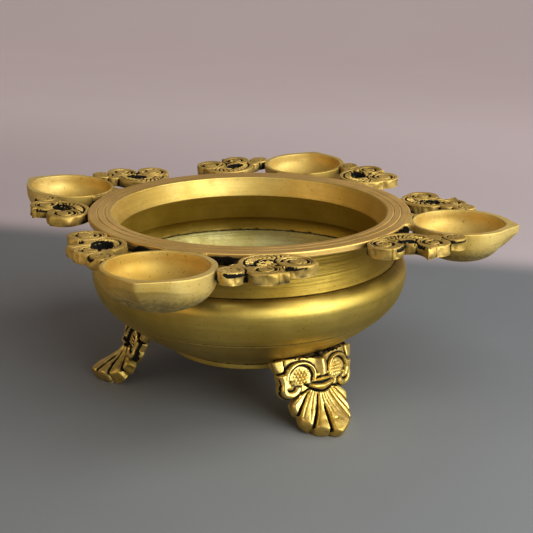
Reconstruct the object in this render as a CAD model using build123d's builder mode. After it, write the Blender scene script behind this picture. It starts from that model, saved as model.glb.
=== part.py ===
from build123d import *

import os
from math import cos, radians, sin

# Brass urli bowl: a turned bowl with a flat rim, four diya cups on arms at its rim,
# a pair of openwork scrolls beside each cup and three shell feet.
# Millimetres, +Z up. The origin is on the floor, on the bowl's axis.

# ---- driving dimensions: bowl -------------------------------------------------------------
RIM_TOP = 103.2  # height of the flat rim above the floor
RIM_RADIUS = 90.0
MOUTH_RADIUS = 77.0
RIM_THICKNESS = 3.5
LIP_DEPTH = 12.5  # the rim's inner lip slopes inwards to here
LIP_EDGE_RADIUS = 74.2
LIP_WALL = 2.8
LIP_ROOT_DRAFT = 0.8  # the lip is this much thinner where it joins the flange
RIM_EDGE_ROUND = 0.7
RIM_GROOVE_RADII = (80.8, 84.8)
GROOVE_RADIUS = 0.35  # half width of every turned line

BELLY_RADIUS = 89.1  # widest point of the belly
BELLY_DROP = 34.0  # widest point below the rim's top
WALL = 3.0
LAP_WALL = 1.6  # belly wall outside the neck's skirt
SHOULDER_ROUND = 9.2
SIDE_ROUND = 25.0
UNDERSIDE_ROUND = 130.0
BASE_ROUND = 24.0
SHOULDER_ANGLE = 67.5  # the belly's edge, as the angle of its wall's normal
LAP_END_ANGLE = -9.5  # the skirt's lower edge
SIDE_END_ANGLE = -46.0
UNDERSIDE_END_ANGLE = -63.9
BELLY_GROOVE_ANGLE = -42.0

NECK_TOP_RADIUS = 81.5
NECK_WAIST_RADIUS = 80.9
NECK_WAIST_DROP = 12.5

FOOT_RING_RADIUS = 48.4
FOOT_RING_WALL = 3.2
FOOT_RING_DROP = 78.6
FOOT_RING_TOP_DROP = 68.0  # inside the belly, trimmed off by it

# ---- driving dimensions: arms -------------------------------------------------------------
# Each arm was set by eye, so its angle and its upward tilt differ a little.
ARMS = {
    "front": (-90.8, 2.6),
    "right": (2.6, 0.8),
    "back": (91.0, 4.0),
    "left": (177.0, 4.5),
}
CUP_CENTRE = 117.6  # from the bowl's axis
CUP_RADIUS = 26.8
CUP_TIP = 148.0
CUP_BAND = 6.6  # the upright band below the brim
CUP_DEPTH = 20.5
CUP_BRIM = 3.6
CUP_WALL = 3.0
CUP_HOLLOW_TIP = 1.2  # the cup's round opening is drawn out this far towards the tip
CUP_HOLLOW_BAND = 4.6  # upright part of the opening's wall
# The cup below its band: share of the remaining depth, share of the full width.
CUP_LEVELS = ((0.0, 1.0), (0.35, 0.93), (0.68, 0.76), (0.9, 0.5), (1.0, 0.3))
TAB_WIDTH = 22.0
TAB_FILLET = 3.0

SCROLL_THICKNESS = 6.0
# Circles that make up a scroll: distance along the rim, distance from the bowl's axis, radius.
CRESCENT = (47.1, 94.8, 17.0)
MOUTH_BITE = (55.0, 107.5, 12.0)
UPPER_VOLUTE = (43.8, 107.2, 8.8)
OUTER_VOLUTE = (54.8, 89.0, 9.4)
SADDLE = (49.6, 100.2, 4.6)
BUD = (31.6, 113.6, 6.2)
EYE_SLOT = (42.4, 95.8, 4.7)
EYE_SLOT_STRETCH = 2.6
EYE_SLOT_TURN = 60.0

# ---- driving dimensions: feet -------------------------------------------------------------
FEET = {"front_right": -40.0, "front_left": -160.0, "back": 80.0}
# Sections of a foot: height, half width, then how far from the bowl's axis its back,
# the edges of its face and its middle ridge are.
FOOT_BACK_TAPER = 3.0
FOOT_SECTIONS = (
    (0.0, 17.0, 70.0, 79.0, 88.5),
    (3.0, 19.5, 69.0, 79.5, 94.5),
    (6.5, 18.5, 68.0, 78.5, 88.5),
    (10.0, 17.0, 66.0, 75.5, 82.5),
    (16.5, 15.0, 62.0, 70.0, 76.3),
    (24.0, 21.5, 59.0, 66.5, 73.0),
    (31.0, 24.5, 57.0, 64.5, 70.5),
    (43.0, 25.0, 55.0, 62.0, 67.5),
)

os.makedirs("parts", exist_ok=True)


def polar(centre, radius, angle):
    """The point at an angle, in degrees, on a circle."""
    return (
        centre[0] + radius * cos(radians(angle)),
        centre[1] + radius * sin(radians(angle)),
    )


# Centres of the belly's four tangent arcs, as distance from the axis and height.
SHOULDER = (BELLY_RADIUS - SHOULDER_ROUND, RIM_TOP - BELLY_DROP)
SIDE = (BELLY_RADIUS - SIDE_ROUND, RIM_TOP - BELLY_DROP)
UNDERSIDE = polar(SIDE, SIDE_ROUND - UNDERSIDE_ROUND, SIDE_END_ANGLE)
BASE = polar(UNDERSIDE, UNDERSIDE_ROUND - BASE_ROUND, UNDERSIDE_END_ANGLE)
STRAIGHT_DOWN = -90.0


def lower_wall(inset, start_angle):
    """The belly's wall from an angle on its side down to the base, inset from the outside."""
    CenterArc(SIDE, SIDE_ROUND - inset, start_angle, SIDE_END_ANGLE - start_angle)
    CenterArc(
        UNDERSIDE,
        UNDERSIDE_ROUND - inset,
        SIDE_END_ANGLE,
        UNDERSIDE_END_ANGLE - SIDE_END_ANGLE,
    )
    CenterArc(
        BASE,
        BASE_ROUND - inset,
        UNDERSIDE_END_ANGLE,
        STRAIGHT_DOWN - UNDERSIDE_END_ANGLE,
    )
    Line((BASE[0], BASE[1] - BASE_ROUND + inset), (0, BASE[1] - BASE_ROUND + inset))


def belly_blank():
    """The belly as if it were solid, to trim the pieces that meet its outside."""
    with BuildSketch(Plane.XZ) as half:
        with BuildLine():
            CenterArc(SHOULDER, SHOULDER_ROUND, SHOULDER_ANGLE, -SHOULDER_ANGLE)
            lower_wall(0, 0)
            edge = polar(SHOULDER, SHOULDER_ROUND, SHOULDER_ANGLE)
            Polyline((0, BASE[1] - BASE_ROUND), (0, edge[1]), edge)
        make_face()
    revolve(half.sketch, axis=Axis.Z, mode=Mode.SUBTRACT)


def turned_line(radius, height):
    """A thin round-bottomed groove turned round the bowl."""
    with BuildSketch(Plane.XZ) as cutter:
        with Locations((radius, height)):
            Circle(GROOVE_RADIUS)
    revolve(cutter.sketch, axis=Axis.Z, mode=Mode.SUBTRACT)


def save(part, name):
    """Labels a finished piece and writes it as its own node."""
    part.label = name
    export_step(part, f"parts/{name}.step")


# ---- rim ring: flat flange with an inward-sloping inner lip --------------------------------
RIM_UNDERSIDE = RIM_TOP - RIM_THICKNESS
LIP_END = RIM_TOP - LIP_DEPTH
LIP_ROOT_RADIUS = MOUTH_RADIUS + LIP_WALL - LIP_ROOT_DRAFT
with BuildPart() as rim_ring:
    with BuildSketch(Plane.XZ):
        with BuildLine():
            Polyline(
                (MOUTH_RADIUS, RIM_TOP),
                (RIM_RADIUS, RIM_TOP),
                (RIM_RADIUS, RIM_UNDERSIDE),
                (LIP_ROOT_RADIUS, RIM_UNDERSIDE),
                (LIP_EDGE_RADIUS + LIP_WALL, LIP_END),
                (LIP_EDGE_RADIUS, LIP_END),
                close=True,
            )
        make_face()
    revolve(axis=Axis.Z)
    flange_edges = rim_ring.edges().filter_by(GeomType.CIRCLE).group_by(Axis.Z)
    outer_underside = flange_edges[-2].sort_by(SortBy.RADIUS)[-1:]
    fillet(flange_edges[-1] + outer_underside, RIM_EDGE_ROUND)
    for groove_radius in RIM_GROOVE_RADII:
        turned_line(groove_radius, RIM_TOP)
save(rim_ring.part, "rim_ring")

# ---- neck collar: waisted band, with a skirt that laps inside the belly --------------------
neck_foot = polar(SHOULDER, SHOULDER_ROUND, SHOULDER_ANGLE)
neck_waist = (NECK_WAIST_RADIUS, RIM_TOP - NECK_WAIST_DROP)
skirt_top = polar(SHOULDER, SHOULDER_ROUND - WALL, SHOULDER_ANGLE)
with BuildPart() as neck_collar:
    with BuildSketch(Plane.XZ):
        with BuildLine():
            ThreePointArc((NECK_TOP_RADIUS, RIM_UNDERSIDE), neck_waist, neck_foot)
            Line(neck_foot, polar(SHOULDER, SHOULDER_ROUND - LAP_WALL, SHOULDER_ANGLE))
            CenterArc(SHOULDER, SHOULDER_ROUND - LAP_WALL, SHOULDER_ANGLE, -SHOULDER_ANGLE)
            CenterArc(SIDE, SIDE_ROUND - LAP_WALL, 0, LAP_END_ANGLE)
            Line(
                polar(SIDE, SIDE_ROUND - LAP_WALL, LAP_END_ANGLE),
                polar(SIDE, SIDE_ROUND - WALL, LAP_END_ANGLE),
            )
            CenterArc(SIDE, SIDE_ROUND - WALL, LAP_END_ANGLE, -LAP_END_ANGLE)
            CenterArc(SHOULDER, SHOULDER_ROUND - WALL, 0, SHOULDER_ANGLE)
            Polyline(
                skirt_top,
                (LIP_EDGE_RADIUS + LIP_WALL, LIP_END),
                (LIP_ROOT_RADIUS, RIM_UNDERSIDE),
                (NECK_TOP_RADIUS, RIM_UNDERSIDE),
            )
        make_face()
    revolve(axis=Axis.Z)
save(neck_collar.part, "neck_collar")

# ---- belly dish: round-bottomed dish, rebated inside its edge for the skirt ----------------
with BuildPart() as belly_dish:
    with BuildSketch(Plane.XZ):
        with BuildLine():
            CenterArc(SHOULDER, SHOULDER_ROUND, SHOULDER_ANGLE, -SHOULDER_ANGLE)
            lower_wall(0, 0)
            Line((0, BASE[1] - BASE_ROUND), (0, BASE[1] - BASE_ROUND + WALL))
            lower_wall(WALL, LAP_END_ANGLE)
            Line(
                polar(SIDE, SIDE_ROUND - WALL, LAP_END_ANGLE),
                polar(SIDE, SIDE_ROUND - LAP_WALL, LAP_END_ANGLE),
            )
            CenterArc(SIDE, SIDE_ROUND - LAP_WALL, LAP_END_ANGLE, -LAP_END_ANGLE)
            CenterArc(SHOULDER, SHOULDER_ROUND - LAP_WALL, 0, SHOULDER_ANGLE)
            Line(polar(SHOULDER, SHOULDER_ROUND - LAP_WALL, SHOULDER_ANGLE), neck_foot)
        make_face()
    revolve(axis=Axis.Z)
    turned_line(*polar(SIDE, SIDE_ROUND, BELLY_GROOVE_ANGLE))
save(belly_dish.part, "belly_dish")

# ---- foot ring: low turned ring under the belly --------------------------------------------
with BuildPart() as foot_ring:
    with BuildSketch(Plane.XZ):
        with BuildLine():
            Polyline(
                (FOOT_RING_RADIUS - FOOT_RING_WALL, RIM_TOP - FOOT_RING_DROP),
                (FOOT_RING_RADIUS, RIM_TOP - FOOT_RING_DROP),
                (FOOT_RING_RADIUS, RIM_TOP - FOOT_RING_TOP_DROP),
                (FOOT_RING_RADIUS - FOOT_RING_WALL, RIM_TOP - FOOT_RING_TOP_DROP),
                close=True,
            )
        make_face()
    revolve(axis=Axis.Z)
    belly_blank()
save(foot_ring.part, "foot_ring")


# ---- arms: diya cups and scrolls -----------------------------------------------------------
def outward_plane(angle, distance, height, tilt=0):
    """A level plane at an angle round the bowl, with Y outwards. Tilt raises its outer side."""
    out_x, out_y = polar((0, 0), 1, angle)
    rise = sin(radians(tilt))
    return Plane(
        origin=(distance * out_x, distance * out_y, height),
        x_dir=(out_y, -out_x, 0),
        z_dir=(-rise * out_x, -rise * out_y, cos(radians(tilt))),
    )


def along_arm(distance):
    """Turns a distance from the bowl's axis into the arm's own Y."""
    return distance - RIM_RADIUS


def teardrop(radius, tip_reach):
    """Plan of a cup: a circle drawn out to a point, both measured from the cup's centre."""
    tangent_height = radius * radius / tip_reach
    tangent_width = (radius * radius - tangent_height * tangent_height) ** 0.5
    centre_y = along_arm(CUP_CENTRE)
    left = (-tangent_width, centre_y + tangent_height)
    right = (tangent_width, centre_y + tangent_height)
    with BuildLine() as outline:
        ThreePointArc(left, (0, centre_y - radius), right)
        Line(right, (0, centre_y + tip_reach))
        Line((0, centre_y + tip_reach), left)
    make_face(outline.edges())


def cup_hull(plane, radius, tip_reach, band, depth, mode):
    """Upright band under the brim, then a rounded bottom that draws in to a small flat."""
    with BuildSketch(plane.offset(-band)) as brim:
        teardrop(radius, tip_reach)
    extrude(brim.sketch, amount=band, mode=mode)
    levels = []
    for share, width in CUP_LEVELS:
        with BuildSketch(plane.offset(-band - share * (depth - band))) as level:
            teardrop(radius * width, radius * width + (tip_reach - radius) * width * width)
        levels.append(level.sketch.face())
    loft(levels, mode=mode)


def trim_to_rim():
    """Cuts an arm's piece back to the rim's round outer edge, so that they meet face to face."""
    with Locations((0, 0, RIM_TOP)):
        Cylinder(RIM_RADIUS, 4 * CUP_DEPTH, mode=Mode.SUBTRACT)


def make_cup(plane):
    """A diya cup with its pouring tip and the tab that is brazed to the rim."""
    centre_y = along_arm(CUP_CENTRE)
    with BuildPart() as cup:
        cup_hull(plane, CUP_RADIUS, CUP_TIP - CUP_CENTRE, CUP_BAND, CUP_DEPTH, Mode.ADD)
        with BuildSketch(plane):
            with BuildLine():
                Polyline(
                    (-TAB_WIDTH / 2 - TAB_FILLET, -TAB_FILLET),
                    (-TAB_WIDTH / 2, TAB_FILLET),
                    (-TAB_WIDTH / 2, centre_y / 3),
                    (TAB_WIDTH / 2, centre_y / 3),
                    (TAB_WIDTH / 2, TAB_FILLET),
                    (TAB_WIDTH / 2 + TAB_FILLET, -TAB_FILLET),
                    close=True,
                )
            make_face()
        extrude(amount=-RIM_THICKNESS)
        trim_to_rim()
        cup_hull(
            plane,
            CUP_RADIUS - CUP_BRIM,
            CUP_RADIUS - CUP_BRIM + CUP_HOLLOW_TIP,
            CUP_HOLLOW_BAND,
            CUP_DEPTH - CUP_WALL,
            Mode.SUBTRACT,
        )
    return cup.part


def make_scroll(plane, side):
    """A flat openwork scroll. Side is 1 or -1, the way it lies along the rim from its cup."""

    def disc(circle, mode=Mode.ADD):
        with Locations((side * circle[0], along_arm(circle[1]))):
            Circle(circle[2], mode=mode)

    with BuildPart() as scroll:
        with BuildSketch(plane):
            disc(CRESCENT)
            disc(MOUTH_BITE, Mode.SUBTRACT)
            disc(UPPER_VOLUTE)
            disc(OUTER_VOLUTE)
            disc(SADDLE)
            disc(BUD)
            with Locations((side * EYE_SLOT[0], along_arm(EYE_SLOT[1]))):
                SlotCenterToCenter(
                    EYE_SLOT_STRETCH,
                    2 * EYE_SLOT[2],
                    rotation=side * EYE_SLOT_TURN,
                    mode=Mode.SUBTRACT,
                )
        extrude(amount=-SCROLL_THICKNESS)
        trim_to_rim()
        with BuildSketch(plane.offset(-CUP_DEPTH)):
            with Locations((0, along_arm(CUP_CENTRE))):
                Circle(CUP_RADIUS)
        extrude(amount=2 * CUP_DEPTH, mode=Mode.SUBTRACT)
    return scroll.part


for arm, (arm_angle, arm_tilt) in ARMS.items():
    top = outward_plane(arm_angle, RIM_RADIUS, RIM_TOP, arm_tilt)
    save(make_cup(top), f"diya_cup_{arm}")
    save(make_scroll(top, 1), f"scroll_{arm}_left")
    save(make_scroll(top, -1), f"scroll_{arm}_right")


# ---- feet ----------------------------------------------------------------------------------
def make_foot(angle):
    """A shell foot: fan-shaped toe, narrow waist and a wide head cut to the belly's underside."""
    with BuildPart() as foot:
        for height, half_width, back, side, front in FOOT_SECTIONS:
            with BuildSketch(outward_plane(angle, 0, height)):
                with BuildLine():
                    ThreePointArc((-half_width, side), (0, front), (half_width, side))
                    Polyline(
                        (half_width, side),
                        (half_width - FOOT_BACK_TAPER, back),
                        (FOOT_BACK_TAPER - half_width, back),
                        (-half_width, side),
                    )
                make_face()
        loft()
        belly_blank()
    return foot.part


for foot_name, foot_angle in FEET.items():
    save(make_foot(foot_angle), f"foot_{foot_name}")
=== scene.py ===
from math import cos, pi, radians, sin, sqrt

import bpy
import numpy as np
from mathutils import Matrix, Vector


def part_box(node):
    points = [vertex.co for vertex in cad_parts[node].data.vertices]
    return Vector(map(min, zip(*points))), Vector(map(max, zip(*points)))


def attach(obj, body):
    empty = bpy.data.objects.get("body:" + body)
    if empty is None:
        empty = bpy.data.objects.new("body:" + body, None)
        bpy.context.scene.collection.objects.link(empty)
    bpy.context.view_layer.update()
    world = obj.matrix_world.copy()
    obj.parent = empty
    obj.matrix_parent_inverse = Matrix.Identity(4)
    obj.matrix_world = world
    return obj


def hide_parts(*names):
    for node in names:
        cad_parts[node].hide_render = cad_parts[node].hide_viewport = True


# The looks of the brass urli bowl. Shapes are worked out in millimetres and written in metres.
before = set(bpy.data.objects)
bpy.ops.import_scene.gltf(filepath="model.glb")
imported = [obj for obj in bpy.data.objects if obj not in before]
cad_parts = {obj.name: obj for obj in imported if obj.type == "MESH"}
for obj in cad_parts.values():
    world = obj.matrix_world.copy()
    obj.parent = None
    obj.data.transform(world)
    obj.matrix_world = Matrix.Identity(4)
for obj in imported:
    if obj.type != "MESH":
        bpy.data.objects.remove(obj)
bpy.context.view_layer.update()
MM = 0.001

# ---- sizes read from the frame --------------------------------------------------------------


def high(node, axis):
    """A CAD node's upper limit along an axis, in millimetres."""
    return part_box(node)[1][axis] / MM


def low(node, axis):
    """A CAD node's lower limit along an axis, in millimetres."""
    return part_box(node)[0][axis] / MM


RIM_TOP = high("rim_ring", 2)
RIM_RADIUS = high("rim_ring", 0)
LIP_DEPTH = RIM_TOP - low("rim_ring", 2)
BELLY_RADIUS = high("belly_dish", 0)
FOOT_RING_RADIUS = high("foot_ring", 0)
FOOT_RING_BOTTOM = low("foot_ring", 2)

# ---- sizes that repeat the part's own, in millimetres and degrees ------------------------------
MOUTH_RADIUS = 77.0
RIM_THICKNESS = 3.5
LIP_EDGE_RADIUS = 74.2
LIP_WALL = 2.8
RIM_GROOVE_RADII = (80.8, 84.8)
BELLY_DROP = 34.0
WALL = 3.0
LAP_WALL = 1.6
SHOULDER_ROUND = 9.2
SIDE_ROUND = 25.0
UNDERSIDE_ROUND = 130.0
BASE_ROUND = 24.0
SHOULDER_ANGLE = 67.5
LAP_END_ANGLE = -9.5
SIDE_END_ANGLE = -46.0
UNDERSIDE_END_ANGLE = -63.9
BELLY_GROOVE_ANGLE = -42.0
NECK_TOP_RADIUS = 81.5
NECK_WAIST_RADIUS = 80.9
NECK_WAIST_DROP = 12.5
FOOT_RING_WALL = 3.2

ARMS = {  # direction and tilt
    "front": (-90.8, 2.6),
    "right": (2.6, 0.8),
    "back": (91.0, 4.0),
    "left": (177.0, 4.5),
}
CUP_CENTRE = 117.6
CUP_RADIUS = 26.8
CUP_TIP_REACH = 30.4
CUP_BAND = 6.6
CUP_DEPTH = 20.5
CUP_HOLLOW_DEPTH = 17.5
FEET = {"front_right": -40.0, "front_left": -160.0, "back": 80.0}  # directions

# ---- smooth, repeatable unevenness ------------------------------------------------------------


def ripple(points, size, seed, waves=16):
    """Smooth random unevenness with features of a given size, about -1 to 1, alike in every run."""
    random = np.random.RandomState(seed)
    directions = random.normal(size=(waves, points.shape[-1])) / size
    phases = random.uniform(0, 2 * pi, waves)
    return np.sin(points @ directions.T + phases).sum(-1) / sqrt(waves)


def ramp(value, start, end):
    """0 before start, 1 after end and a smooth step between them."""
    share = np.clip((value - start) / (end - start), 0, 1)
    return share * share * (3 - 2 * share)


def bump(distance, width):
    """1 on a line, falling to 0 a width away from it."""
    return np.exp(-((distance / width) ** 2))


def ledge(distance, width):
    """1 across a flat-topped band, falling quickly to 0 beyond its half width."""
    return np.exp(-((distance / width) ** 4))


# ---- meshes -----------------------------------------------------------------------------------


def new_piece(name, points, faces, material, cavity=None, sharp_angle=40):
    """A piece from points in millimetres. Its faces are turned outwards, and it rides on the body."""
    corners = points[faces[0]]
    volume = np.einsum("ij,ij->i", corners[:, 0], np.cross(corners[:, 1], corners[:, 2])).sum()
    every_face = [face for group in faces for face in group.tolist()]
    if volume < 0:
        every_face = [face[::-1] for face in every_face]
    mesh = bpy.data.meshes.new(name)
    mesh.from_pydata((points * MM).tolist(), [], every_face)
    if cavity is not None:
        layer = mesh.attributes.new("cavity", "FLOAT", "POINT")
        layer.data.foreach_set("value", cavity.astype(np.float32))
    mesh.validate()
    mesh.shade_smooth()
    mesh.set_sharp_from_angle(angle=radians(sharp_angle))
    mesh.materials.append(material)
    piece = bpy.data.objects.new(name, mesh)
    bpy.context.scene.collection.objects.link(piece)
    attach(piece, "root")
    return piece


def second_finish(piece, material, chosen):
    """Gives the chosen faces of a piece another finish."""
    piece.data.materials.append(material)
    piece.data.polygons.foreach_set("material_index", chosen.astype(np.int32))


def skin(rings, closed):
    """Points and faces over rings of points. Closed joins the last ring to the first one;
    otherwise each end is drawn together in a point at its middle."""
    count, around = rings.shape[:2]
    points = rings.reshape(-1, 3)
    row = np.arange(around)
    following = (row + 1) % around
    last = count if closed else count - 1
    quads = []
    for first in range(last):
        this = first * around
        other = ((first + 1) % count) * around
        quads.append(np.stack([this + row, this + following, other + following, other + row], 1))
    faces = [np.concatenate(quads)]
    if not closed:
        end = (count - 1) * around
        points = np.concatenate([points, rings[0].mean(0)[None], rings[-1].mean(0)[None]])
        start_pole = np.full(around, count * around)
        faces.append(np.stack([start_pole, following, row], 1))
        faces.append(np.stack([start_pole + 1, end + row, end + following], 1))
    return points, faces


def arc(centre, radius, start, end, step=0.6):
    """Points along an arc, its angles in degrees."""
    count = max(3, int(abs(radians(end - start)) * radius / step) + 1)
    angles = np.radians(np.linspace(start, end, count))
    return np.stack([centre[0] + radius * np.cos(angles), centre[1] + radius * np.sin(angles)], 1)


def run(*corners, step=0.6):
    """Points along straight runs from corner to corner."""
    stretches = []
    for start, end in zip(corners, corners[1:]):
        start, end = np.array(start, float), np.array(end, float)
        count = max(2, int(np.linalg.norm(end - start) / step) + 1)
        stretches.append(start + (end - start) * np.linspace(0, 1, count)[:, None])
    return np.concatenate(stretches)


def chain(*stretches):
    """One line through all the stretches, with no point twice."""
    line = np.concatenate(stretches)
    keep = np.ones(len(line), bool)
    keep[1:] = np.linalg.norm(np.diff(line, axis=0), axis=1) > 0.02
    return line[keep]


def on_arc(centre, radius, angle):
    """The point at an angle, in degrees, on a circle."""
    return (
        centre[0] + radius * cos(radians(angle)),
        centre[1] + radius * sin(radians(angle)),
    )


def turned(profile, segments=600):
    """Rings of a turned shape from its profile, given as radius and height."""
    angles = np.linspace(0, 2 * pi, segments, endpoint=False)
    radius = profile[:, 0][:, None]
    height = profile[:, 1][:, None] + 0 * angles
    return np.stack([radius * np.cos(angles), radius * np.sin(angles), height], -1)


def push_out(rings, amount):
    """Moves the rings' points away from the axis by an amount for each point."""
    radius = np.hypot(rings[..., 0], rings[..., 1])
    share = 1 + amount / np.maximum(radius, 1)
    rings[..., 0] *= share
    rings[..., 1] *= share
    return rings


# ---- the bowl's turned pieces -----------------------------------------------------------------
SHOULDER = (BELLY_RADIUS - SHOULDER_ROUND, RIM_TOP - BELLY_DROP)
SIDE = (BELLY_RADIUS - SIDE_ROUND, RIM_TOP - BELLY_DROP)
UNDERSIDE = on_arc(SIDE, SIDE_ROUND - UNDERSIDE_ROUND, SIDE_END_ANGLE)
BASE = on_arc(UNDERSIDE, UNDERSIDE_ROUND - BASE_ROUND, UNDERSIDE_END_ANGLE)
AXIS_GAP = 1.5  # radius of the smallest ring, which is then closed to a point


def groove(profile, radius, height, width, depth):
    """Sinks the points of a profile that are near a place, straight down."""
    distance = np.hypot(profile[:, 0] - radius, profile[:, 1] - height)
    profile[:, 1] -= depth * bump(distance, width)
    return profile


def near_ring(points, place, width):
    """1 at points on a ring given as its radius and height, falling to 0 a width away from it."""
    radius = np.hypot(points[:, 0], points[:, 1])
    return bump(np.hypot(radius - place[0], points[:, 2] - place[1]), width)


def make_rim(material, lip_material):
    """Flat flange with fine turned grooves, and the lip that slopes inwards from it."""
    underside = RIM_TOP - RIM_THICKNESS
    lip_end = RIM_TOP - LIP_DEPTH
    edge = 0.8
    lip_turn = 1.2
    top = run((MOUTH_RADIUS + lip_turn, RIM_TOP), (RIM_RADIUS - edge, RIM_TOP), step=0.12)
    for radius in RIM_GROOVE_RADII:
        top = groove(top, radius, RIM_TOP, 0.3, 0.26)
        top = groove(top, radius - 0.8, RIM_TOP, 0.35, -0.10)
    profile = chain(
        top,
        arc((RIM_RADIUS - edge, RIM_TOP - edge), edge, 90, 0, 0.15),
        run((RIM_RADIUS, RIM_TOP - edge), (RIM_RADIUS, underside + edge), step=0.3),
        arc((RIM_RADIUS - edge, underside + edge), edge, 0, -90, 0.15),
        run(
            (RIM_RADIUS - edge, underside),
            (MOUTH_RADIUS + LIP_WALL - edge, underside),
            (LIP_EDGE_RADIUS + LIP_WALL, lip_end + edge),
        ),
        arc((LIP_EDGE_RADIUS + LIP_WALL - edge, lip_end + edge), edge, 0, -90, 0.2),
        arc((LIP_EDGE_RADIUS + edge, lip_end + edge), edge, -90, -180, 0.2),
        run((LIP_EDGE_RADIUS, lip_end + edge), (MOUTH_RADIUS - 0.3, RIM_TOP - lip_turn), step=0.4),
        arc((MOUTH_RADIUS + lip_turn - 0.3, RIM_TOP - lip_turn), lip_turn, 180, 90, 0.2),
    )
    rings = turned(profile, 720)
    flat = rings.reshape(-1, 3)
    radius = np.hypot(flat[:, 0], flat[:, 1])
    outer = ramp(radius, RIM_RADIUS - 2, RIM_RADIUS)
    uneven = 0.12 * ripple(flat, 16, 1) * outer + 0.05 * ripple(flat, 9, 2)
    rings = push_out(rings, uneven.reshape(rings.shape[:2]))
    points, faces = skin(rings, closed=True)
    groove_dirt = sum(
        bump(radius - place, 0.35) * (0.45 + 0.2 * ripple(flat, 5, 3)) for place in RIM_GROOVE_RADII
    )
    on_top = ramp(flat[:, 2], RIM_TOP - 1.5, RIM_TOP - 1.0)
    groove_dirt = np.clip(groove_dirt * on_top, 0, 1)
    piece = new_piece("rim_flange", points, faces, material, groove_dirt)
    on_lip = np.linalg.norm(points[faces[0]].mean(1)[:, :2], axis=1) < MOUTH_RADIUS + 0.9
    second_finish(piece, lip_material, on_lip)
    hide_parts("rim_ring")


def make_neck(material, inside_material):
    """Waisted band with coarse turning marks, its skirt lapped inside the belly."""
    underside = RIM_TOP - RIM_THICKNESS
    lip_end = RIM_TOP - LIP_DEPTH
    foot = on_arc(SHOULDER, SHOULDER_ROUND, SHOULDER_ANGLE)
    waist = (NECK_WAIST_RADIUS, RIM_TOP - NECK_WAIST_DROP)
    heights = np.linspace(underside, foot[1], 110)
    rise = (heights - waist[1]) / (foot[1] - waist[1])
    flare = np.where(rise > 0, (foot[0] - waist[0]) * rise**2, (NECK_TOP_RADIUS - waist[0]) * rise**2)
    outside = np.stack([waist[0] + flare, heights], 1)
    marks = 0.025 * ripple(heights[:, None], 0.34, 11) + 0.03 * ripple(heights[:, None], 1.1, 12)
    outside[:, 0] += marks - 0.5 * bump(heights - foot[1], 0.35)
    inside = chain(
        arc(SHOULDER, SHOULDER_ROUND - LAP_WALL, SHOULDER_ANGLE, 0),
        arc(SIDE, SIDE_ROUND - LAP_WALL, 0, LAP_END_ANGLE),
        run(
            on_arc(SIDE, SIDE_ROUND - LAP_WALL, LAP_END_ANGLE),
            on_arc(SIDE, SIDE_ROUND - WALL, LAP_END_ANGLE),
            step=0.3,
        ),
        arc(SIDE, SIDE_ROUND - WALL, LAP_END_ANGLE, 0, 0.4),
        arc(SHOULDER, SHOULDER_ROUND - WALL, 0, SHOULDER_ANGLE),
        run(
            on_arc(SHOULDER, SHOULDER_ROUND - WALL, SHOULDER_ANGLE),
            (LIP_EDGE_RADIUS + LIP_WALL, lip_end),
            (MOUTH_RADIUS + LIP_WALL - 0.8, underside),
            (NECK_TOP_RADIUS, underside),
        ),
    )
    rings = turned(chain(outside, inside))
    flat = rings.reshape(-1, 3)
    at_edge = near_ring(flat, on_arc(SIDE, SIDE_ROUND - WALL, LAP_END_ANGLE), 0.8)
    nicks = ramp(ripple(flat, 0.8, 13), 0.7, 1.6)
    outer_joint = near_ring(flat, foot, 0.42)
    amount = at_edge * (0.4 * nicks + 0.1 * ripple(flat, 3, 14)) - 0.4 * outer_joint * nicks
    rings = push_out(rings, amount.reshape(rings.shape[:2]))
    points, faces = skin(rings, closed=True)
    dirt = at_edge * (0.6 + 0.6 * nicks) + outer_joint * (0.75 + 0.4 * nicks)
    piece = new_piece("neck_band", points, faces, material, np.clip(dirt, 0, 1))
    is_inside = np.arange(len(faces[0])) >= len(outside) * rings.shape[1]
    second_finish(piece, inside_material, is_inside)
    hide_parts("neck_collar")


def lower_wall(inset, start):
    """The belly's wall from an angle on its side down to the base, inset from the outside."""
    return chain(
        arc(SIDE, SIDE_ROUND - inset, start, SIDE_END_ANGLE, 0.45),
        arc(UNDERSIDE, UNDERSIDE_ROUND - inset, SIDE_END_ANGLE, UNDERSIDE_END_ANGLE, 0.6),
        arc(BASE, BASE_ROUND - inset, UNDERSIDE_END_ANGLE, -90, 0.6),
        run(
            (BASE[0], BASE[1] - BASE_ROUND + inset),
            (AXIS_GAP, BASE[1] - BASE_ROUND + inset),
            step=0.8,
        ),
    )


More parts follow.
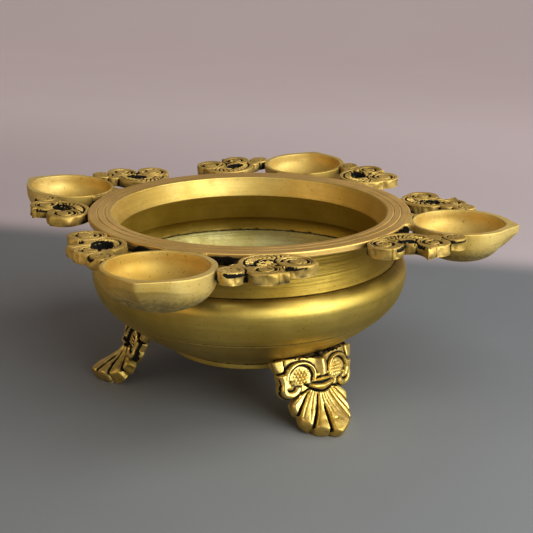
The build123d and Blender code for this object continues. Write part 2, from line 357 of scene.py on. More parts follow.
def make_belly(material, floor_material):
    """Round-bottomed dish with one fine groove low on its side."""
    outside = chain(
        arc(SHOULDER, SHOULDER_ROUND, SHOULDER_ANGLE, 0, 0.35),
        lower_wall(0, 0),
    )
    line_place = on_arc(SIDE, SIDE_ROUND, BELLY_GROOVE_ANGLE)
    distance = np.hypot(outside[:, 0] - line_place[0], outside[:, 1] - line_place[1])
    outside[:, 0] -= 0.5 * bump(distance, 0.5)
    inside = lower_wall(WALL, LAP_END_ANGLE)[::-1]
    lap = chain(
        run(
            on_arc(SIDE, SIDE_ROUND - WALL, LAP_END_ANGLE),
            on_arc(SIDE, SIDE_ROUND - LAP_WALL, LAP_END_ANGLE),
            step=0.3,
        ),
        arc(SIDE, SIDE_ROUND - LAP_WALL, LAP_END_ANGLE, 0),
        arc(SHOULDER, SHOULDER_ROUND - LAP_WALL, 0, SHOULDER_ANGLE),
    )
    rings = turned(chain(inside, lap, outside))
    flat = rings.reshape(-1, 3)
    at_edge = near_ring(flat, on_arc(SHOULDER, SHOULDER_ROUND, SHOULDER_ANGLE), 0.4)
    at_seam = near_ring(flat, on_arc(SIDE, SIDE_ROUND - WALL, LAP_END_ANGLE), 0.8)
    at_line = near_ring(flat, line_place, 0.65)
    nicks = ramp(ripple(flat, 0.8, 21), 0.8, 1.7)
    amount = 0.10 * ripple(flat, 22, 22) - at_edge * (0.3 + 0.4 * nicks) + 0.4 * at_seam * nicks
    rings = push_out(rings, amount.reshape(rings.shape[:2]))
    points, faces = skin(rings, closed=False)
    dirt = at_edge * (0.7 + 0.5 * nicks) + at_seam * (0.75 + 0.6 * nicks) + 0.95 * at_line
    dirt = np.append(np.clip(dirt, 0, 1), [0, 0])
    piece = new_piece("belly_bowl", points, faces, material, dirt)
    corners = np.concatenate([group.max(1) for group in faces])
    around_ring = rings.shape[1]
    at_pole = corners >= len(flat)
    first_pole = np.arange(len(corners)) < len(faces[0]) + around_ring
    first_rings = corners < len(inside) * around_ring
    second_finish(piece, floor_material, np.where(at_pole, first_pole, first_rings))
    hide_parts("belly_dish")


def make_foot_ring(material):
    """Low turned ring under the belly, with a softened outer edge."""
    inner = FOOT_RING_RADIUS - FOOT_RING_WALL
    top = FOOT_RING_BOTTOM + 5.0
    edge = 0.7
    profile = chain(
        run((FOOT_RING_RADIUS, top), (FOOT_RING_RADIUS, FOOT_RING_BOTTOM + edge), step=0.3),
        arc((FOOT_RING_RADIUS - edge, FOOT_RING_BOTTOM + edge), edge, 0, -90, 0.2),
        arc((inner + edge, FOOT_RING_BOTTOM + edge), edge, -90, -180, 0.2),
        run((inner, FOOT_RING_BOTTOM + edge), (inner, top), (FOOT_RING_RADIUS, top), step=0.4),
    )
    rings = turned(profile)
    flat = rings.reshape(-1, 3)
    rings = push_out(rings, (0.08 * ripple(flat, 14, 31)).reshape(rings.shape[:2]))
    points, faces = skin(rings, closed=True)
    dirt = ramp(flat[:, 2], FOOT_RING_BOTTOM + 1.8, FOOT_RING_BOTTOM + 3.4)
    piece = new_piece("base_ring", points, faces, material, 0.7 * dirt)
    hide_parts("foot_ring")


# ---- relief castings --------------------------------------------------------------------------


def blur(values, mask, passes):
    """Averages values over a grid, using only the cells in the mask."""
    weight = mask.astype(float)
    total = values * weight
    for _ in range(passes):
        for axis in (0, 1):
            total = (np.roll(total, 1, axis) + total + np.roll(total, -1, axis)) / 3
            weight = (np.roll(weight, 1, axis) + weight + np.roll(weight, -1, axis)) / 3
    return total / np.maximum(weight, 1e-6)


def brink(values, cells):
    """The highest value within a few cells of each place on a grid."""
    top = values.copy()
    for _ in range(cells):
        for axis in (0, 1):
            top = np.maximum(top, np.maximum(np.roll(top, 1, axis), np.roll(top, -1, axis)))
    return top


def slope(shape, x, y, reach=0.05):
    """Direction in which a shape's distance grows fastest."""
    across = shape(x + reach, y) - shape(x - reach, y)
    along = shape(x, y + reach) - shape(x, y - reach)
    size = np.maximum(np.hypot(across, along), 1e-6)
    return across / size, along / size


FILE_STROKES = (1.0, 1.0, 0.25)  # wall marks run from top to bottom
WALL_ROWS = 7
# Painted shade on a casting's plain back.
BACK_SHADE = 0.35
GROOVE_REACH = 3  # cells over which a drop below the highest place counts
LEAST_DROP = 0.25  # a smaller one is not a groove
OFF_FACE = -9.0  # lower than any relief
NEAR_HOLLOW = (6, 1.2)  # passes of averaging, and how much such a hollow darkens
WIDE_HOLLOW = (30, 0.5)


def relief_slab(
    area, step, shape, height, depth, place, roundness, roughness=0.15, seed=0, wall_shade=None, ink=0.5
):
    """A casting with relief on one face: a fine grid inside a shape, side walls and a plain back.
    Place turns x, y and a depth below the face into space. Wall shade says where the walls are painted
    black as shade, and ink how much black stands in the grooves. Returns points, faces and cavity, with
    the painted shade."""
    x, y = np.meshgrid(np.arange(area[0], area[1], step), np.arange(area[2], area[3], step))
    distance = shape(x, y)
    inside = distance[:-1, :-1] + distance[1:, :-1] + distance[:-1, 1:] + distance[1:, 1:] < 0
    for _ in range(4):
        a, b, c, d = inside[:-1, :-1], inside[1:, 1:], inside[1:, :-1], inside[:-1, 1:]
        c |= a & b & ~c & ~d
        a |= c & d & ~a & ~b
    padded = np.pad(inside, 1)
    corners = (padded[:-1, :-1], padded[1:, :-1], padded[:-1, 1:], padded[1:, 1:])
    used = corners[0] | corners[1] | corners[2] | corners[3]
    border = used & ~(corners[0] & corners[1] & corners[2] & corners[3])
    for _ in range(3):
        move_x, move_y = slope(shape, x[border], y[border])
        off = np.clip(shape(x[border], y[border]), -step, step)
        x[border] -= off * move_x
        y[border] -= off * move_y

    face = height(x, y)
    wall_distance = np.clip(-shape(x, y), 0, roundness)
    fall = roundness - np.sqrt(np.maximum(roundness**2 - (roundness - wall_distance) ** 2, 0))
    top_depth = fall - face
    near, wide = (blur(face, used, passes) - face for passes, _ in (NEAR_HOLLOW, WIDE_HOLLOW))
    sunk = near * NEAR_HOLLOW[1] + wide * WIDE_HOLLOW[1]
    drop = ink * (brink(np.where(used, face, OFF_FACE), GROOVE_REACH) - face)
    cavity = np.clip(np.where(drop > LEAST_DROP, np.maximum(sunk, drop), sunk), -1, 1)

    count = int(used.sum())
    index = np.full(used.shape, -1)
    index[used] = np.arange(count)
    back_depth = depth(x[used], y[used])
    points = [place(x[used], y[used], top_depth[used]), place(x[used], y[used], back_depth)]
    shade = [cavity[used], np.full(count, BACK_SHADE)]

    top = np.stack([index[:-1, :-1], index[:-1, 1:], index[1:, 1:], index[1:, :-1]], -1)[inside]
    quads = [top, top[:, ::-1] + count]

    border_order = np.full(used.shape, -1)
    border_count = int(border.sum())
    border_order[border] = np.arange(border_count)
    out_x, out_y = slope(shape, x[border], y[border])
    start_depth = top_depth[border]
    end_depth = depth(x[border], y[border])
    rows = [index[border]]
    for row in range(1, WALL_ROWS):
        share = row / WALL_ROWS
        level = start_depth + (end_depth - start_depth) * share
        spot = np.stack([x[border], y[border], level], 1)
        rough = 2.4 * roughness * (np.abs(ripple(spot * FILE_STROKES, 2.4, seed + 71)) - 0.6)
        rough += roughness * ripple(spot, 5, seed + 72)
        out = (0.2 + rough) * sin(pi * share) ** 0.5 - roundness * 0.6 * share**6
        black = wall_shade(x[border], y[border]) if wall_shade else 0 * level
        out = out * (1 - 0.8 * np.clip(black, 0, 1))
        # Walls darker at random and towards the back, and painted black as shade where the wall shade
        # says.
        wall_darkening = np.clip(0.14 + 0.22 * ripple(spot, 2.4, seed + 73) + 0.35 * share**3, 0, 0.7)
        wall_darkening += black * (0.75 + 0.3 * ripple(spot, 1.6, seed + 74))
        points.append(place(x[border] + out_x * out, y[border] + out_y * out, level))
        shade.append(np.clip(wall_darkening, 0, 1))
        rows.append(2 * count + (row - 1) * border_count + np.arange(border_count))
    rows.append(index[border] + count)

    for start, end, hidden in (
        ((0, 0), (0, 1), (-1, 0)),
        ((0, 1), (1, 1), (0, 1)),
        ((1, 1), (1, 0), (1, 0)),
        ((1, 0), (0, 0), (0, -1)),
    ):
        height_cells, width_cells = inside.shape
        beside = padded[
            1 + hidden[0] : 1 + hidden[0] + height_cells,
            1 + hidden[1] : 1 + hidden[1] + width_cells,
        ]
        cells = np.argwhere(inside & ~beside)
        a = border_order[cells[:, 0] + start[0], cells[:, 1] + start[1]]
        b = border_order[cells[:, 0] + end[0], cells[:, 1] + end[1]]
        for upper, lower in zip(rows, rows[1:]):
            quads.append(np.stack([upper[b], upper[a], lower[a], lower[b]], 1))
    return np.concatenate(points), [np.concatenate(quads)], np.concatenate(shade)


def corner(shape, x, y, reach=2.2):
    """1 in a shape's inner corners, 0 along its straight and bulging edges."""
    total = 0
    for turn in np.linspace(0, 2 * pi, 8, endpoint=False):
        total = total + shape(x + reach * cos(turn), y + reach * sin(turn))
    return ramp(-total / 8, 0.18, 0.7)


def disc(x, y, circle):
    """Distance outside a circle given as its centre and radius."""
    return np.hypot(x - circle[0], y - circle[1]) - circle[2]


def around(x, y, centre):
    """Distance and angle, in degrees from 0 to 360, about a centre."""
    across, along = x - centre[0], y - centre[1]
    return np.hypot(across, along), np.degrees(np.arctan2(along, across)) % 360


def stroke(x, y, corners, width):
    """1 along a line from corner to corner, and 0 beside it."""
    nearest = np.full(x.shape, 1e6)
    for start, end in zip(corners, corners[1:]):
        run_x, run_y = end[0] - start[0], end[1] - start[1]
        along = ((x - start[0]) * run_x + (y - start[1]) * run_y) / (run_x**2 + run_y**2)
        along = np.clip(along, 0, 1)
        off_x, off_y = x - start[0] - along * run_x, y - start[1] - along * run_y
        nearest = np.minimum(nearest, np.hypot(off_x, off_y))
    return bump(nearest, width)


def spiral(x, y, centre, outer, pitch, start, turns, width):
    """1 along a spiral line that winds inwards from an outer radius, and 0 beside it."""
    radius, angle = around(x, y, centre)
    line = 0
    for lap in range(3):
        turn = ((angle - start) % 360) / 360 + lap
        on = np.where(turn < turns, 1.0, 0.0)
        line = np.maximum(line, on * ledge(radius - (outer - pitch * turn), width))
    return line


def arm_place(angle, tilt):
    """Turns an arm's own x along the rim, y from the axis and depth below the top into space."""
    out = np.array([cos(radians(angle)), sin(radians(angle)), 0])
    rise = sin(radians(tilt))
    up = np.array([-rise * out[0], -rise * out[1], cos(radians(tilt))])
    up /= np.linalg.norm(up)
    along = np.array([out[1], -out[0], 0])
    outward = np.cross(up, along)
    origin = RIM_RADIUS * out + np.array([0, 0, RIM_TOP])

    def place(x, y, depth):
        return (
            origin
            + np.multiply.outer(x, along)
            + np.multiply.outer(y - RIM_RADIUS, outward)
            - np.multiply.outer(depth, up)
        )

    return place


# ---- scrolls ----------------------------------------------------------------------------------
SCROLL_THICKNESS = 5.6
SCROLL_NECK = (34.0, 107.0, 4.6)
# Each hand-finished casting: crescent, upper volute, outer volute and bud as x, y and radius; the
# eye as x, y, half width, half length and turn (half width 0 for a blind eye); and its lift.
SCROLLS = {
    "front_left": (
        (44.4, 94.8, 14.6), (40.6, 106.0, 9.0), (57.4, 81.4, 10.0), (31.0, 114.0, 6.2),
        (41.0, 95.6, 4.4, 7.6, 28.0), 0.2,
    ),
    "front_right": (
        (47.1, 94.8, 17.0), (46.0, 107.0, 8.7), (55.2, 88.5, 9.6), (33.0, 114.0, 6.4),
        (42.6, 95.8, 0.0, 5.4, 20.0), 0.4,
    ),
    "right_left": (
        (44.5, 94.8, 15.5), (42.0, 107.4, 8.2), (50.8, 85.0, 9.2), (31.0, 116.2, 6.2),
        (44.6, 94.6, 2.1, 3.6, 35.0), 0.0,
    ),
    "right_right": (
        (46.0, 95.6, 16.5), (41.0, 109.0, 8.2), (54.0, 91.0, 9.4), (32.0, 116.6, 6.2),
        (40.0, 97.0, 3.0, 5.0, 25.0), 0.0,
    ),
    "back_left": (
        (47.1, 95.8, 17.0), (46.0, 109.0, 9.0), (58.4, 95.0, 9.6), (31.6, 114.6, 6.2),
        (42.4, 96.0, 3.2, 6.0, 20.0), 0.9,
    ),
    "back_right": (
        (47.1, 95.8, 17.0), (46.0, 109.0, 9.0), (58.4, 94.5, 9.6), (31.6, 114.6, 6.2),
        (42.4, 96.0, 3.4, 5.0, 20.0), 1.1,
    ),
    "left_left": (
        (47.1, 94.8, 17.0), (46.4, 108.4, 9.2), (60.4, 93.4, 10.0), (32.6, 114.6, 6.4),
        (42.4, 95.8, 3.0, 5.0, 20.0), 0.3,
    ),
    "left_right": (
        (44.8, 94.8, 15.8), (43.0, 106.0, 8.8), (50.4, 89.6, 9.2), (31.6, 114.0, 6.2),
        (42.3, 96.0, 3.6, 4.6, 20.0), 0.0,
    ),
}


def scroll_eye(x, y, eye):
    """Distance outside the eye's opening, a rounded slot."""
    turn = radians(eye[4])
    across = (x - eye[0]) * cos(turn) - (y - eye[1]) * -sin(turn)
    along = -(x - eye[0]) * sin(turn) + (y - eye[1]) * cos(turn)
    straight = max(eye[3] - eye[2], 0)
    return np.hypot(across, np.maximum(np.abs(along) - straight, 0)) - eye[2]


def scroll_shape(casting):
    """Outline of a scroll as a distance, for x away from its cup."""
    crescent, upper, outer, bud, eye, _ = casting
    middle = ((upper[0] + outer[0]) / 2, (upper[1] + outer[1]) / 2)
    saddle = (middle[0] - 2.2, middle[1] - 0.4, 5.0)
    bite = (middle[0] + 9.5, middle[1] + 1.5, 8.2)

    def shape(x, y):
        body = np.maximum(disc(x, y, crescent), -disc(x, y, bite))
        for circle in (upper, outer, saddle, bud, SCROLL_NECK):
            body = np.minimum(body, disc(x, y, circle))
        if eye[2]:
            opening = scroll_eye(x, y, eye) + 0.35 * np.sin(x * 1.9) * np.cos(y * 1.5)
            body = np.maximum(body, -opening)
        body = np.maximum(body, RIM_RADIUS - 0.4 - np.hypot(x, y))
        return np.maximum(body, CUP_RADIUS - 0.4 - np.hypot(x, y - CUP_CENTRE))

    return shape


def scroll_height(casting, seed):
    """Relief of a scroll: a roped crescent, two spiral volutes and a bud, parted by deep grooves."""
    crescent, upper, outer, bud, eye, _ = casting

    def height(x, y):
        spot = np.stack([x, y], -1)
        x = x + 0.35 * ripple(spot, 8, seed + 1)
        y = y + 0.35 * ripple(spot, 8, seed + 2)
        radius, angle = around(x, y, crescent)
        inner_side = ramp(angle, 100, 125) * (1 - ramp(angle, 285, 310))
        edge_in = crescent[2] - radius
        twist = np.sin(radians(1) * angle * 26 + radius * 1.1)
        rope = ledge(edge_in - 5.6, 2.1) * inner_side
        relief = -0.9 * rope * ramp(twist, 0.1, 0.6)
        relief -= 1.3 * ledge(edge_in - 3.0, 0.56) * inner_side
        relief -= 1.3 * ledge(edge_in - 8.3, 0.56) * inner_side

        for circle, start, turns in ((upper, 205.0, 1.35), (outer, 140.0, 1.4)):
            inside = disc(x, y, circle)
            lines = spiral(x, y, circle, circle[2] - 2.6, 2.8, start, turns, 0.68)
            fine = spiral(x, y, circle, circle[2] - 1.3, 2.8, start + 30, 0.6, 0.32)
            middle, _ = around(x, y, circle)
            coil = 0.1 * bump(middle, 1.6) - 1.5 * lines - 0.5 * fine
            relief = np.where(inside < 0.4, coil, relief)
            beside = (disc(x, y, crescent) < -2.0) | (disc(x, y, upper) < -1.0)
            relief -= 1.5 * ledge(inside - 0.5, 0.5) * beside

        bud_radius, bud_angle = around(x, y, bud)
        smile = ramp(bud_angle, 150, 190) * (1 - ramp(bud_angle, 330, 360))
        in_bud = disc(x, y, bud) < 0
        spokes = bump(((bud_angle + 20) % 60) - 30, 7.0) * ramp(bud_radius, 1.6, 2.6)
        bud_face = 0.15 - 0.6 * bump(bud_radius - 3.7, 0.35) * smile
        bud_face -= 0.6 * spokes * (1 - ramp(bud_radius, 3.4, 4.0))
        relief = np.where(in_bud, bud_face, relief)
        relief -= 1.4 * ledge(disc(x, y, bud), 0.45) * ramp(x, 31, 34)

        if eye[2]:
            relief -= 1.5 * bump(scroll_eye(x, y, eye) - 0.2, 0.8)
        else:
            blind = scroll_eye(x, y, (eye[0], eye[1], 3.4, eye[3], eye[4]))
            leaf = 0.7 * ledge(np.sin((x * 0.7 + y) * 1.6), 0.6) - 1.1
            relief = np.where(blind < 0, leaf, relief)
            relief -= 1.8 * bump(blind, 0.5)
            relief -= 3.0 * bump(np.hypot(x - 38.4, y - 102.0), 1.6)
        relief -= 2.4 * bump(np.hypot(x - upper[0] - 3.2, y - upper[1] + 8.6), 1.1)
        relief -= 0.8 * ramp(ripple(spot, 0.8, seed + 3), 1.15, 1.9)
        relief += 0.03 * ripple(spot, 1.6, seed + 4)
        return relief

    return height


def make_scroll(arm, side_name, material, number):
    """One cast scroll beside a cup."""
    angle, tilt = ARMS[arm]
    place = arm_place(angle, tilt)
    side = 1 if side_name == "left" else -1
    casting = SCROLLS[f"{arm}_{side_name}"]
    lift = casting[5]

    def placed(x, y, depth):
        return place(side * x, y, depth - lift)

    # Painted shade: the walls go black beside the rim and the cup, in the eye and in inner corners.
    def wall_shade(x, y):
        by_rim = 1 - ramp(np.hypot(x, y) - RIM_RADIUS, 0.5, 4)
        by_cup = 1 - ramp(np.hypot(x, y - CUP_CENTRE) - CUP_RADIUS, 0.5, 3)
        in_eye = 1 - ramp(scroll_eye(x, y, casting[4]), 1.0, 1.6) if casting[4][2] else 0
        notch = corner(scroll_shape(casting), x, y)
        return np.maximum(np.maximum(by_rim, by_cup), np.maximum(in_eye, notch))

    points, faces, cavity = relief_slab(
        (24, 73, 68, 124),
        0.3,
        scroll_shape(casting),
        scroll_height(casting, 100 + 10 * number),
        lambda x, y: SCROLL_THICKNESS + 0.25 * ripple(np.stack([x, y], -1), 5, number),
        placed,
        0.45,
        roughness=0.42,
        seed=number,
        wall_shade=wall_shade,
        ink=1.6,
    )
    piece = new_piece(
        f"scroll_{arm}_{side_name}_cast", points, faces, material, cavity, 55
    )
    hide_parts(f"scroll_{arm}_{side_name}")


# ---- diya cups --------------------------------------------------------------------------------
# Each cup: size, turn of its tip in degrees, and its hollow's x, y and radius.
CUPS = {
    "front": (1.0, -5.0, 1.0, -0.2, 23.9),
    "right": (0.98, 0.0, 0.0, -1.5, 23.4),
    "back": (1.0, 0.0, 0.0, -0.6, 23.9),
    "left": (0.96, 0.0, 0.0, -0.8, 23.2),
}
KEEL_ROUND = 0.03  # radians either side of the tip over which the keel is softened
HOLLOW_ROUND = 0.34  # and the same for the hollow
HOLLOW_REACH = 2.4  # how far its brim is drawn out towards the tip
HOLLOW_EDGE = 3.2  # depth at which its rounded brim ends
CUP_SEGMENTS = 420
TIP_CROWDING = 1.15  # above 1 the segments stand closer together near the tip
HOLLOW_RINGS, BRIM_RINGS, FLAT_RINGS, BAND_RINGS, UNDER_RINGS = 34, 6, 8, 9, 32


def teardrop(angles, radius, reach, rounding=KEEL_ROUND):
    """Distance from a cup's centre to its outline, a circle drawn out to a point at angle 0."""
    tangent = np.arccos(radius / reach)
    near = np.sqrt(angles**2 + rounding**2) - rounding * 0.5
    return radius / np.cos(np.clip(tangent - near, 0, None))


def make_cup(arm, material, number):
    """A lamp cup: teardrop brim, upright band that tapers to the tip, rounded underside and hollow."""
    place = arm_place(*ARMS[arm])
    size, turn, hollow_x, hollow_y, hollow_radius = CUPS[arm]
    spread = np.linspace(-1, 1, CUP_SEGMENTS, endpoint=False)
    angles = np.sign(spread) * pi * np.abs(spread) ** TIP_CROWDING
    out_edge, in_edge = 0.5, 0.6
    inner, outer = [], []
    for share in np.linspace(0.97, 0, HOLLOW_RINGS):
        width = (1 - share**2.2) ** 0.66
        point = 1.0 + 1.4 * (1 - share) ** 3
        depth = HOLLOW_EDGE + (CUP_HOLLOW_DEPTH - HOLLOW_EDGE) * share
        radius = hollow_radius * width
        line = teardrop(angles, radius, radius + 0.05 + point * (1 - share) ** 2, HOLLOW_ROUND)
        inner.append((line, depth + 0 * angles))
    hollow = teardrop(angles, hollow_radius, hollow_radius + HOLLOW_REACH, HOLLOW_ROUND)
    for lean in np.linspace(0, 90, BRIM_RINGS):
        line = hollow + in_edge * (1 - cos(radians(lean)))
        inner.append((line, in_edge * (1 - sin(radians(lean))) + 0 * angles))
    brim = teardrop(angles, CUP_RADIUS * size, CUP_TIP_REACH * (size + 1) / 2)
    for lean in np.linspace(90, 0, BRIM_RINGS):
        line = brim - out_edge * (1 - cos(radians(lean)))
        outer.append((line, out_edge * (1 - sin(radians(lean))) + 0 * angles))
    band = (CUP_BAND - out_edge) * (1 - 0.3 * ramp(np.cos(angles), 0.75, 1))
    for share in np.linspace(0.12, 1, BAND_RINGS):
        outer.append((brim - 0.5 * share**2, band * share))
    crease = 0.12
    near_tip = np.clip(np.cos(angles), 0, 1) ** 4
    for share in np.linspace(0.03, 0.985, UNDER_RINGS):
        width = (1 - share**2.0) ** 0.54
        radius = (CUP_RADIUS * size - out_edge - crease * ramp(share, 0, 0.06)) * width
        reach = radius + (CUP_TIP_REACH - CUP_RADIUS) * width**4.0
        depth = band + (CUP_DEPTH - band) * share
        cut_back = 1 - 0.4 * share * (1 - share) * near_tip
        outer.append((teardrop(angles, radius, reach) * cut_back, depth))

    turned_by = radians(turn)

    def ring(line, depth, shift):
        x = line * np.sin(angles + turned_by) + hollow_x * shift
        y = CUP_CENTRE + line * np.cos(angles + turned_by) + hollow_y * shift
        return x, y, depth

    rings = [ring(line, depth, 1) for line, depth in inner]
    last, first = rings[-1], ring(*outer[0], 0)
    for share in np.linspace(0.1, 0.92, FLAT_RINGS):
        rings.append(tuple(a + (b - a) * share for a, b in zip(last, first)))
    rings += [ring(line, depth, 0) for line, depth in outer]
    seed = 300 + 10 * number
    rows = np.arange(len(rings))
    on_outside = ramp(rows, len(inner) + FLAT_RINGS, len(inner) + FLAT_RINGS + 4)
    in_hollow = 1 - ramp(rows, len(inner) - 8, len(inner) - 2)
    placed = []
    for row, (x, y, depth) in enumerate(rings):
        spot = np.stack([x, y, depth], -1)
        away = 0.05 * ripple(spot, 4, seed + 1) + 0.2 * on_outside[row] * ripple(spot, 9, seed)
        away *= ramp(np.hypot(x, y - CUP_CENTRE), 2, 8)
        dip = 0.10 * ripple(spot, 8, seed + 2) + 0.12 * in_hollow[row] * ripple(spot, 5, seed + 4)
        heading = np.arctan2(x, y - CUP_CENTRE)
        placed.append(place(x + away * np.sin(heading), y + away * np.cos(heading), depth + dip))
    points, faces = skin(np.array(placed), closed=False)
    pits = ramp(ripple(points, 0.9, seed + 3), 1.5, 2.3)
    # Painted shade: the underside darkens, more towards the bowl and further down; only the pits are
    # the metal's own.
    shade_towards_bowl = ramp(-np.cos(np.append(np.tile(angles, len(rings)), [0, 0])), 0.5, 1.0)
    past_crease = len(rings) - UNDER_RINGS
    under = np.append(np.repeat(ramp(rows, past_crease - 3, past_crease + 3), len(angles)), [0, 1])
    low = np.append(np.repeat(ramp(rows, past_crease, past_crease + 16), len(angles)), [0, 1])
    cavity = 0.4 * pits + 0.6 * shade_towards_bowl * under + 0.25 * under + 0.27 * low
    cavity = np.clip(cavity, 0, 1)
    piece = new_piece(f"cup_{arm}", points, faces, material, cavity, 38)
    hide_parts(f"diya_cup_{arm}")


# ---- braze metal, and crust beads that paint the gaps' shade ----------------------------------


TAB_HALF_WIDTH = 11.0
TAB_MIDDLE = 91.5  # from the bowl's axis
TAB_END = 97.0


def tab_shape(x, y):
    """Outline of the braze tab between a cup's brim and the rim."""
    waist = np.abs(x) - TAB_HALF_WIDTH - 0.12 * (y - TAB_MIDDLE) ** 2
    shape = np.maximum(waist, RIM_RADIUS - 0.9 - np.hypot(x, y))
    shape = np.maximum(shape, y - TAB_END)
    return np.maximum(shape, CUP_RADIUS - 1.2 - np.hypot(x, y - CUP_CENTRE))


def make_tab(arm, material, number):
    """Braze tab that joins a cup to the rim, nearly flush, with a nicked seam across it."""
    seed = 500 + 10 * number

    def height(x, y):
        spot = np.stack([x, y], -1)
        seam = bump(np.hypot(x, y) - 91.3, 0.35) * ramp(ripple(spot, 1.6, seed), -0.3, 0.5)
        return 0.12 * ripple(spot, 1.5, seed + 1) - 0.9 * seam - 0.05

    points, faces, cavity = relief_slab(
        (-16, 16, 86, 98),
        0.3,
        tab_shape,
        height,
        lambda x, y: RIM_THICKNESS + 0.4 + 0.3 * ripple(np.stack([x, y], -1), 3, seed),
        arm_place(*ARMS[arm]),
        0.35,
        seed=seed,
    )
    new_piece(f"braze_tab_{arm}", points, faces, material, cavity, 55)


def lumpy_bead(name, path, width, depth, material, seed, lumps):
    """A lumpy bead of braze metal along a path, oval across it. Under the rim it also paints the gaps'
    shade.
    """
    path = np.array(path)
    forward = np.gradient(path, axis=0)
    forward /= np.linalg.norm(forward, axis=1)[:, None]
    side = np.cross(forward, [0, 0, 1.0])
    side /= np.linalg.norm(side, axis=1)[:, None]
    up = np.cross(side, forward)
    turns = np.linspace(0, 2 * pi, 28, endpoint=False)
    share = np.linspace(0, 1, len(path))
    taper = np.sqrt(np.clip(1 - (2 * share - 1) ** 8, 0.03, 1))
    rings = []
    for centre, sideways, upwards, size in zip(path, side, up, taper):
        oval = np.outer(np.cos(turns) * width * size, sideways)
        oval += np.outer(np.sin(turns) * depth * size, upwards)
        lump = 1 + lumps * ripple(centre + oval, 2.2, seed)
        lump += lumps * 0.7 * ripple(centre + oval, 1.0, seed + 1)
        rings.append(centre + oval * lump[:, None])
    points, faces = skin(np.array(rings), closed=False)
    cavity = np.clip(0.75 + 0.5 * ripple(points, 1.2, seed + 2), 0, 1)
    new_piece(name, points, faces, material, cavity, 60)


# A bead of braze crust under the rim's edge in each gap beside a cup. It is also painted shade, filling
# the shaded gap with black.
CRUST_SHADE_SPAN = (9.5, 33.0)  # from the arm's middle
CRUST_SHADE_DEPTH = 3.5  # of its middle below the rim's top
CRUST_SHADE_RADII = (2.4, 2.0)
CRUST_SHADE_LUMPS = 0.16


def make_crusts_and_gap_shade(arm, material, number):
    """Dark rough braze metal under the rim's edge, in the gaps on either side of a cup, made big and
    black enough to paint the gaps' shade.
    """
    place = arm_place(*ARMS[arm])
    for name, side in (("left", 1), ("right", -1)):
        x = np.linspace(*CRUST_SHADE_SPAN, 50)
        y = np.sqrt((RIM_RADIUS + 0.6) ** 2 - x**2)
        path = place(side * x, y, CRUST_SHADE_DEPTH + 0 * x)
        seed = 1100 + 20 * number + side
        lumpy_bead(f"braze_crust_{arm}_{name}", path, *CRUST_SHADE_RADII, material, seed, CRUST_SHADE_LUMPS)


# ---- feet -------------------------------------------------------------------------------------
# The front of a foot along its middle: distance from the bowl's axis, and height.
FOOT_FRONT = (
    (66.8, 41.0),
    (68.4, 36.6),
    (70.7, 30.0),
    (73.0, 24.0),
    (74.6, 20.0),
    (76.4, 16.4),
    (78.9, 13.0),
    (83.2, 9.6),
    (89.6, 6.2),
    (93.8, 3.7),
    (95.4, 1.6),
    (95.8, -2.0),
)


def smooth_line(corners, passes=4):
    """Rounds a line by cutting its corners again and again."""
    line = np.array(corners, float)
    for _ in range(passes):
        near = line[:-1] * 0.75 + line[1:] * 0.25
        far = line[:-1] * 0.25 + line[1:] * 0.75
        line = np.concatenate([line[:1], np.stack([near, far], 1).reshape(-1, 2), line[-1:]])
    return line


FOOT_LINE = smooth_line(FOOT_FRONT)
FOOT_RUN = np.append(0, np.cumsum(np.linalg.norm(np.diff(FOOT_LINE, axis=0), axis=1)))
FOOT_SLOPE = np.gradient(FOOT_LINE, axis=0)
FOOT_SLOPE /= np.linalg.norm(FOOT_SLOPE, axis=1)[:, None]


def foot_run_at(height):
    """Length along the foot's front from its top down to a height."""
    return float(np.interp(-height, -FOOT_LINE[:, 1], FOOT_RUN))


WAIST = foot_run_at(18.0)
TOE = foot_run_at(1.6)
HEAD_TOP = foot_run_at(37.5)
# The face is laid out in millimetres across and down the front from its top.
HEAD_EDGE = (  # half width of the head at each run down
    (2.6, 25.2),
    (5.0, 25.0),
    (8.2, 24.0),
    (9.6, 22.9),
    (11.0, 23.2),
    (15.0, 22.2),
    (20.0, 19.8),
)
HEAD_BROW = (  # run down of the head's top at each distance from its middle
    (0.0, 5.2),
    (2.0, 5.0),
    (5.0, 4.1),
    (12.0, 2.9),
    (20.0, 2.6),
    (24.0, 2.8),
    (26.0, 3.8),
)
BOSS = (11.4, 13.4, 5.2)
GRAIN_PITCH = 1.7
VOLUTE = (12.0, 13.5, 7.2)
CURL = (16.8, 17.5, 3.9)
CURL_BALL = (16.2, 15.6, 1.5)
FAN_ROOT = (0.0, 12.0)
FAN_REACH = 36.0
FAN_NARROWING = 0.275  # millimetres shorter for each degree away from the middle
FAN_HALF_SPREAD = 51.0  # degrees
# Angle of each groove of the fan near its root and at its edge, its half width and its start.
FAN_GROOVES = (
    (-41.0, -41.5, 0.32, 10),
    (-31.0, -30.5, 0.32, 10),
    (-23.0, -19.5, 0.38, 11),
    (3.0, 8.0, 0.76, 18),
    (13.0, 25.0, 0.64, 11),
    (37.0, 40.5, 0.60, 11),
)
FAN_LINES = (-47.0, -36.0, -27.0, -10.0, -3.0, 4.0, 18.5, 24.0, 31.0, 46.0)


def fan_angle(x, y):
    """Distance and angle from the fan's root, 0 straight down the toe."""
    return np.hypot(x, y - FAN_ROOT[1]), np.degrees(np.arctan2(x, y - FAN_ROOT[1]))


def fan_gap(reach, angle):
    """Distance in millimetres to the nearest groove of the fan, and how deep the grooves are cut."""
    nearest = np.full(reach.shape, 1e6)
    cut = np.zeros(reach.shape)
    for start, end, width, first in FAN_GROOVES:
        at = start + (end - start) * ramp(reach, 10, 36)
        away = radians(1) * reach * np.abs(angle - at)
        begun = ramp(reach, first - 1.5, first + 2)
        nearest = np.minimum(nearest, away + 6 * (1 - begun))
        cut = np.maximum(cut, bump(away, width) * begun)
    return nearest, cut


def waist_run(x):
    """How far down the line between the head's lip and the fan lies."""
    return np.maximum(22.6 - 0.05 * (x + 1) ** 2, 17.5)


